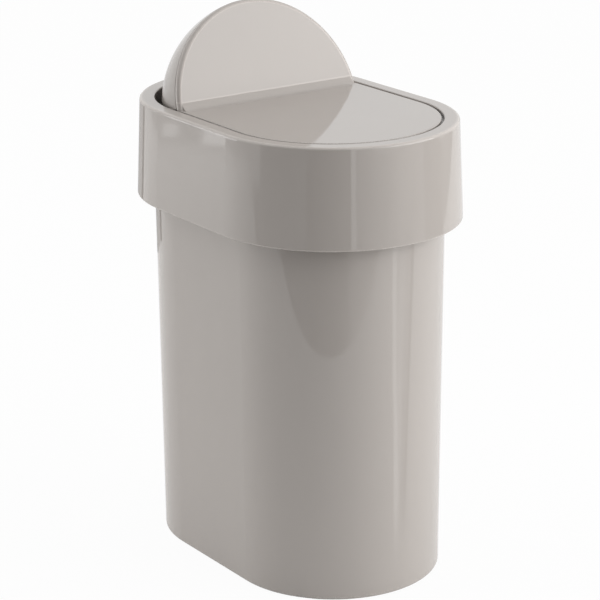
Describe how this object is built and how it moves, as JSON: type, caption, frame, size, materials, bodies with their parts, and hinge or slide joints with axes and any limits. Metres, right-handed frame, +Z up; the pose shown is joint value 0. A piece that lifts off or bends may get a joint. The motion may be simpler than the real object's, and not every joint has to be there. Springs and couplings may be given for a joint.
{
  "type": "waste bin",
  "caption": "Free-standing stadium-shaped waste bin: tapered tub, overhanging lift-off collar and a swing flap with a level panel, a leaning half-moon push plate and a domed back.",
  "frame": {"origin": "middle of the footprint on the floor", "axes": "+Z up; -Y towards the front, where the level panel's round end is; +X along the flap's hinge line"},
  "size_m": [0.1708, 0.2506, 0.3705],
  "materials": {
    "tub_plastic": "warm grey, moulded gloss",
    "collar_plastic": "warm grey, moulded gloss",
    "flap_plastic": "warm grey, moulded gloss",
    "dome_plastic": "warm grey, moulded gloss",
    "pin_steel": "ground dowel"
  },
  "bodies": {
    "tub": {"bin_body": "tub_plastic"},
    "lid": {"lid_collar": "collar_plastic"},
    "flap": {"flap_front": "flap_plastic", "flap_dome": "dome_plastic", "pivot_pin_left": "pin_steel", "pivot_pin_right": "pin_steel"}
  },
  "joints": [
    {"name": "lid_lift", "type": "slide", "parent": "tub", "child": "lid", "axis": [0, 0, 1], "range_m": [0, 0.08]},
    {"name": "flap_swing", "type": "hinge", "parent": "lid", "child": "flap", "pos_m": [0, 0.033, 0.3035], "axis": [-1, 0, 0], "range_deg": [0, 68]}
  ]
}
